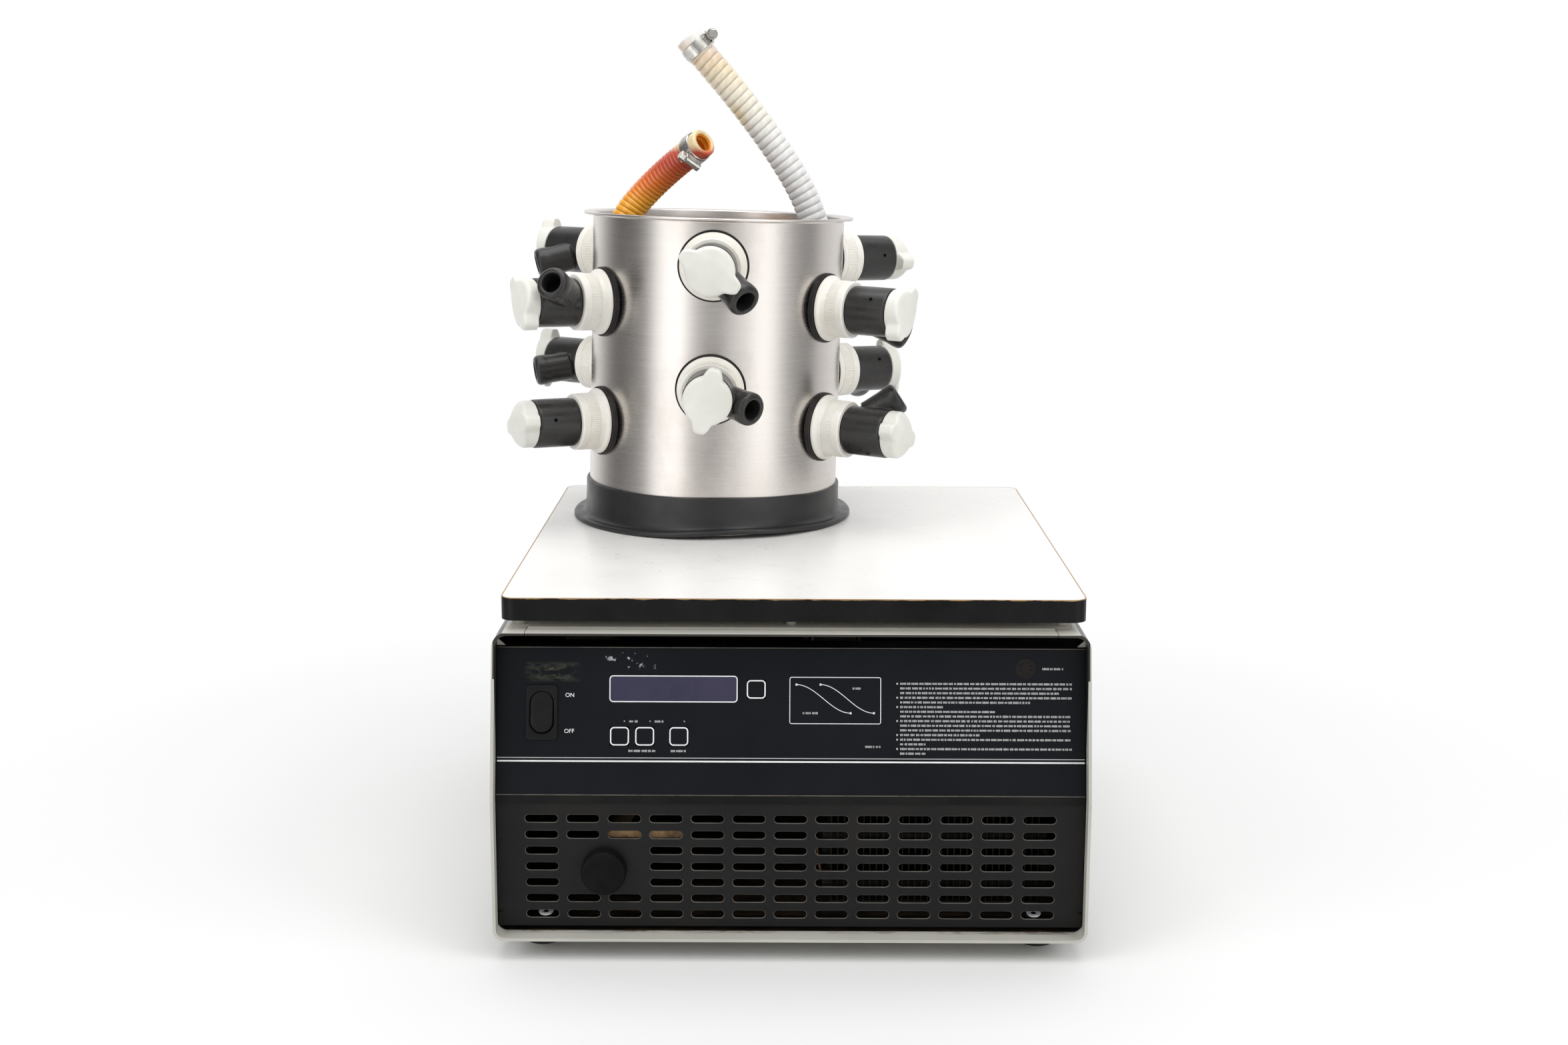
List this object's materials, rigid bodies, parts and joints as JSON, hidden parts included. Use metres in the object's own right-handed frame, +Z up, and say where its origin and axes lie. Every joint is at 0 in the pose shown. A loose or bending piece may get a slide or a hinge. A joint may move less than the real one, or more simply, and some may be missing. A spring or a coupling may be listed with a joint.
{
  "type": "benchtop freeze dryer",
  "caption": "Benchtop freeze dryer: pale cabinet, dark sloped control panel over a slotted intake, worktop board, and an open steel drying chamber ringed by angled rubber valves, with a hose",
  "frame": {"origin": "on the bench, under the middle of the cabinet's footprint", "axes": "+X to the viewer's right, +Y from the control panel to the rear, +Z up"},
  "size_m": [0.5433, 0.6344, 0.8095],
  "materials": {
    "shell_paint": "satin",
    "panel_paint": "satin",
    "overlay": "satin film",
    "window": "gloss",
    "key_cap": "satin",
    "switch_black": "gloss",
    "valve_rubber": "satin",
    "seal_rubber": "matt",
    "knob_plastic": "satin",
    "collar_plastic": "satin",
    "chamber_steel": "brushed",
    "laminate": "satin",
    "edge_band": "satin",
    "zinc_steel": "plated",
    "hose_pvc": "clear, stained",
    "foam": "foam",
    "copper": "tarnished",
    "black_enamel": "satin",
    "fin_aluminium": "bare",
    "fan_plastic": "matt",
    "board_green": "satin",
    "inlet_black": "matt",
    "riser_steel": "satin",
    "pale_rubber": "matt"
  },
  "bodies": {
    "cabinet": {"shell": "shell_paint", "front_panel": "panel_paint", "control_overlay": "overlay", "display_window": "window", "intake_grille": "panel_paint", "switch_housing": "switch_black", "control_board": "board_green", "recorder_socket": "inlet_black", "feet": "seal_rubber", "screws": "zinc_steel", "riser_plate": "riser_steel", "worktop_board": "laminate", "worktop_edge_band": "edge_band", "collector_well": "chamber_steel", "collector_insulation": "foam", "evaporator_coil": "copper", "drying_chamber": "chamber_steel", "chamber_gasket": "seal_rubber", "port_gaskets": "seal_rubber", "port_collars": "collar_plastic", "hose": "hose_pvc", "hose_clamps": "zinc_steel", "compressor": "black_enamel", "condenser": "fin_aluminium", "fan_motor": "zinc_steel", "drain_line": "pale_rubber", "vacuum_line": "zinc_steel", "power_inlet": "inlet_black", "rear_panel": "shell_paint"},
    "valve_body_front_upper": {"valve_body_front_upper": "valve_rubber"},
    "valve_knob_front_upper": {"valve_knob_front_upper": "knob_plastic"},
    "valve_body_front_lower": {"valve_body_front_lower": "valve_rubber"},
    "valve_knob_front_lower": {"valve_knob_front_lower": "knob_plastic"},
    "valve_body_right_front_upper": {"valve_body_right_front_upper": "valve_rubber"},
    "valve_knob_right_front_upper": {"valve_knob_right_front_upper": "knob_plastic"},
    "valve_body_right_front_lower": {"valve_body_right_front_lower": "valve_rubber"},
    "valve_knob_right_front_lower": {"valve_knob_right_front_lower": "knob_plastic"},
    "valve_body_right_rear_upper": {"valve_body_right_rear_upper": "valve_rubber"},
    "valve_knob_right_rear_upper": {"valve_knob_right_rear_upper": "knob_plastic"},
    "valve_body_right_rear_lower": {"valve_body_right_rear_lower": "valve_rubber"},
    "valve_knob_right_rear_lower": {"valve_knob_right_rear_lower": "knob_plastic"},
    "valve_body_rear_upper": {"valve_body_rear_upper": "valve_rubber"},
    "valve_knob_rear_upper": {"valve_knob_rear_upper": "knob_plastic"},
    "valve_body_rear_lower": {"valve_body_rear_lower": "valve_rubber"},
    "valve_knob_rear_lower": {"valve_knob_rear_lower": "knob_plastic"},
    "valve_body_left_rear_upper": {"valve_body_left_rear_upper": "valve_rubber"},
    "valve_knob_left_rear_upper": {"valve_knob_left_rear_upper": "knob_plastic"},
    "valve_body_left_rear_lower": {"valve_body_left_rear_lower": "valve_rubber"},
    "valve_knob_left_rear_lower": {"valve_knob_left_rear_lower": "knob_plastic"},
    "valve_body_left_front_upper": {"valve_body_left_front_upper": "valve_rubber"},
    "valve_knob_left_front_upper": {"valve_knob_left_front_upper": "knob_plastic"},
    "valve_body_left_front_lower": {"valve_body_left_front_lower": "valve_rubber"},
    "valve_knob_left_front_lower": {"valve_knob_left_front_lower": "knob_plastic"},
    "key_left": {"key_left": "key_cap"},
    "key_middle": {"key_middle": "key_cap"},
    "key_right": {"key_right": "key_cap"},
    "key_menu": {"key_menu": "key_cap"},
    "power_rocker": {"power_rocker": "switch_black"},
    "drain_plug": {"drain_plug": "inlet_black"},
    "fan_blade": {"fan_blade": "fan_plastic"}
  },
  "joints": [
    {"name": "valve_turn_front_upper", "type": "hinge", "parent": "cabinet", "child": "valve_body_front_upper", "pos_m": [-0.07567, -0.02639, 0.58081], "axis": [0.0002, -1, 0.0087], "range_deg": [-180, 180]},
    {"name": "knob_turn_front_upper", "type": "hinge", "parent": "valve_body_front_upper", "child": "valve_knob_front_upper", "pos_m": [-0.07566, -0.07068, 0.58119], "axis": [0.0002, -1, 0.0087], "range_deg": [-129, 51]},
    {"name": "valve_turn_front_lower", "type": "hinge", "parent": "cabinet", "child": "valve_body_front_lower", "pos_m": [-0.0786, -0.02743, 0.46105], "axis": [0.0002, -1, 0.0087], "range_deg": [-180, 180]},
    {"name": "knob_turn_front_lower", "type": "hinge", "parent": "valve_body_front_lower", "child": "valve_knob_front_lower", "pos_m": [-0.07859, -0.07173, 0.46143], "axis": [0.0002, -1, 0.0087], "range_deg": [-29, 151]},
    {"name": "valve_turn_right_front_upper", "type": "hinge", "parent": "cabinet", "child": "valve_body_right_front_upper", "pos_m": [0.06241, 0.05359, 0.53431], "axis": [0.8659, -0.5, -0.0169], "range_deg": [-180, 180]},
    {"name": "knob_turn_right_front_upper", "type": "hinge", "parent": "valve_body_right_front_upper", "child": "valve_knob_right_front_upper", "pos_m": [0.10076, 0.03144, 0.53357], "axis": [0.8659, -0.5, -0.0169], "range_deg": [-140, 40]},
    {"name": "valve_turn_right_front_lower", "type": "hinge", "parent": "cabinet", "child": "valve_body_right_front_lower", "pos_m": [0.05947, 0.05255, 0.41435], "axis": [0.8659, -0.5, -0.0169], "range_deg": [-180, 180]},
    {"name": "knob_turn_right_front_lower", "type": "hinge", "parent": "valve_body_right_front_lower", "child": "valve_knob_right_front_lower", "pos_m": [0.09783, 0.0304, 0.41361], "axis": [0.8659, -0.5, -0.0169], "range_deg": [-51, 129]},
    {"name": "valve_turn_right_rear_upper", "type": "hinge", "parent": "cabinet", "child": "valve_body_right_rear_upper", "pos_m": [0.06341, 0.21466, 0.5753], "axis": [0.8657, 0.5, -0.0256], "range_deg": [-180, 180]},
    {"name": "knob_turn_right_rear_upper", "type": "hinge", "parent": "valve_body_right_rear_upper", "child": "valve_knob_right_rear_upper", "pos_m": [0.10176, 0.2368, 0.57417], "axis": [0.8657, 0.5, -0.0256], "range_deg": [-138, 42]},
    {"name": "valve_turn_right_rear_lower", "type": "hinge", "parent": "cabinet", "child": "valve_body_right_rear_lower", "pos_m": [0.06048, 0.21361, 0.45554], "axis": [0.8657, 0.5, -0.0256], "range_deg": [-180, 180]},
    {"name": "knob_turn_right_rear_lower", "type": "hinge", "parent": "valve_body_right_rear_lower", "child": "valve_knob_right_rear_lower", "pos_m": [0.09883, 0.23576, 0.45441], "axis": [0.8657, 0.5, -0.0256], "range_deg": [-40, 140]},
    {"name": "valve_turn_rear_upper", "type": "hinge", "parent": "cabinet", "child": "valve_body_rear_upper", "pos_m": [-0.07677, 0.29463, 0.53563], "axis": [-0.0002, 1, -0.0087], "range_deg": [-180, 180]},
    {"name": "knob_turn_rear_upper", "type": "hinge", "parent": "valve_body_rear_upper", "child": "valve_knob_rear_upper", "pos_m": [-0.07678, 0.33893, 0.53524], "axis": [-0.0002, 1, -0.0087], "range_deg": [-75, 105]},
    {"name": "valve_turn_rear_lower", "type": "hinge", "parent": "cabinet", "child": "valve_body_rear_lower", "pos_m": [-0.07971, 0.29359, 0.41567], "axis": [-0.0002, 1, -0.0087], "range_deg": [-180, 180]},
    {"name": "knob_turn_rear_lower", "type": "hinge", "parent": "valve_body_rear_lower", "child": "valve_knob_rear_lower", "pos_m": [-0.07972, 0.33789, 0.41528], "axis": [-0.0002, 1, -0.0087], "range_deg": [-120, 60]},
    {"name": "valve_turn_left_rear_upper", "type": "hinge", "parent": "cabinet", "child": "valve_body_left_rear_upper", "pos_m": [-0.21485, 0.21466, 0.58212], "axis": [-0.8659, 0.5, 0.0169], "range_deg": [-180, 180]},
    {"name": "knob_turn_left_rear_upper", "type": "hinge", "parent": "valve_body_left_rear_upper", "child": "valve_knob_left_rear_upper", "pos_m": [-0.2532, 0.2368, 0.58287], "axis": [-0.8659, 0.5, 0.0169], "range_deg": [-56, 124]},
    {"name": "valve_turn_left_rear_lower", "type": "hinge", "parent": "cabinet", "child": "valve_body_left_rear_lower", "pos_m": [-0.21778, 0.21361, 0.46236], "axis": [-0.8659, 0.5, 0.0169], "range_deg": [-180, 180]},
    {"name": "knob_turn_left_rear_lower", "type": "hinge", "parent": "valve_body_left_rear_lower", "child": "valve_knob_left_rear_lower", "pos_m": [-0.25614, 0.23576, 0.46311], "axis": [-0.8659, 0.5, 0.0169], "range_deg": [-45, 135]},
    {"name": "valve_turn_left_front_upper", "type": "hinge", "parent": "cabinet", "child": "valve_body_left_front_upper", "pos_m": [-0.21585, 0.05359, 0.54113], "axis": [-0.8657, -0.5, 0.0256], "range_deg": [-180, 180]},
    {"name": "knob_turn_left_front_upper", "type": "hinge", "parent": "valve_body_left_front_upper", "child": "valve_knob_left_front_upper", "pos_m": [-0.2542, 0.03144, 0.54226], "axis": [-0.8657, -0.5, 0.0256], "range_deg": [-163.5, 16.5]},
    {"name": "valve_turn_left_front_lower", "type": "hinge", "parent": "cabinet", "child": "valve_body_left_front_lower", "pos_m": [-0.21879, 0.05255, 0.42117], "axis": [-0.8657, -0.5, 0.0256], "range_deg": [-180, 180]},
    {"name": "knob_turn_left_front_lower", "type": "hinge", "parent": "valve_body_left_front_lower", "child": "valve_knob_left_front_lower", "pos_m": [-0.25714, 0.0304, 0.4223], "axis": [-0.8657, -0.5, 0.0256], "range_deg": [-118, 62]},
    {"name": "key_left_press", "type": "slide", "parent": "cabinet", "child": "key_left", "axis": [0, 0.9806, -0.196], "range_m": [0, 0.0005], "stiffness_N_per_m": 1200, "springref_m": -0.0005},
    {"name": "key_middle_press", "type": "slide", "parent": "cabinet", "child": "key_middle", "axis": [0, 0.9806, -0.196], "range_m": [0, 0.0005], "stiffness_N_per_m": 1200, "springref_m": -0.0005},
    {"name": "key_right_press", "type": "slide", "parent": "cabinet", "child": "key_right", "axis": [0, 0.9806, -0.196], "range_m": [0, 0.0005], "stiffness_N_per_m": 1200, "springref_m": -0.0005},
    {"name": "key_menu_press", "type": "slide", "parent": "cabinet", "child": "key_menu", "axis": [0, 0.9806, -0.196], "range_m": [0, 0.0005], "stiffness_N_per_m": 1200, "springref_m": -0.0005},
    {"name": "power_rocker_tilt", "type": "hinge", "parent": "cabinet", "child": "power_rocker", "pos_m": [-0.21465, -0.24343, 0.21335], "axis": [1, 0, 0], "range_deg": [0, 16]},
    {"name": "drain_plug_pull", "type": "slide", "parent": "cabinet", "child": "drain_plug", "axis": [0, -1, 0], "range_m": [0, 0.03]},
    {"name": "fan_spin", "type": "hinge", "parent": "cabinet", "child": "fan_blade", "pos_m": [0.13, -0.127, 0.0945], "axis": [0, -1, 0], "continuous": true}
  ]
}
